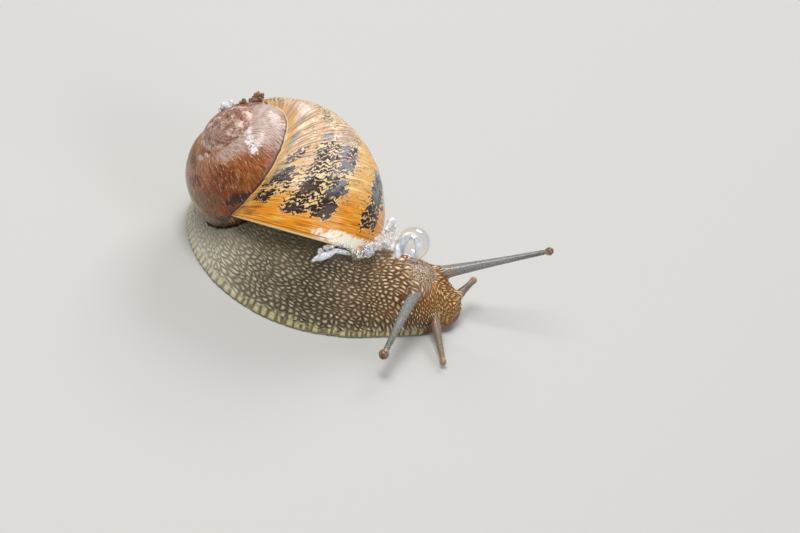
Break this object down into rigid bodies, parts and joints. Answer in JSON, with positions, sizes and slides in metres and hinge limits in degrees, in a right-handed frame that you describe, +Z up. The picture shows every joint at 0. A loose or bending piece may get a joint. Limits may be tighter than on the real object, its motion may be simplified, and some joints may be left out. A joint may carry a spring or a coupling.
{
  "type": "garden snail",
  "caption": "Life-size garden snail creeping with its foot flat and curved, neck and feelers stretched out, and a rounded coiled shell leaning back over the foot.",
  "frame": {"origin": "on the floor, under the middle of the bounding box", "axes": "+X toward the head, along the longest extent; +Y toward the snail's left side; +Z up"},
  "size_m": [0.0584, 0.0412, 0.0256],
  "materials": {
    "shell": "glossy shell, orange-brown with dark broken spiral bands and yellow flecks",
    "skin": "wet, grey-brown skin with rows of raised pale warts",
    "eye": "wet brown knob with a dark eye spot"
  },
  "bodies": {
    "root": {"shell": "shell", "mantle_collar": "skin", "tail": "skin", "foot": "skin", "trunk": "skin", "neck": "skin", "head": "skin", "lips": "skin", "upper_feeler_right": "skin", "upper_feeler_left": "skin", "lower_feeler_right": "skin", "lower_feeler_left": "skin", "eye_right": "eye", "eye_left": "eye"}
  },
  "joints": []
}
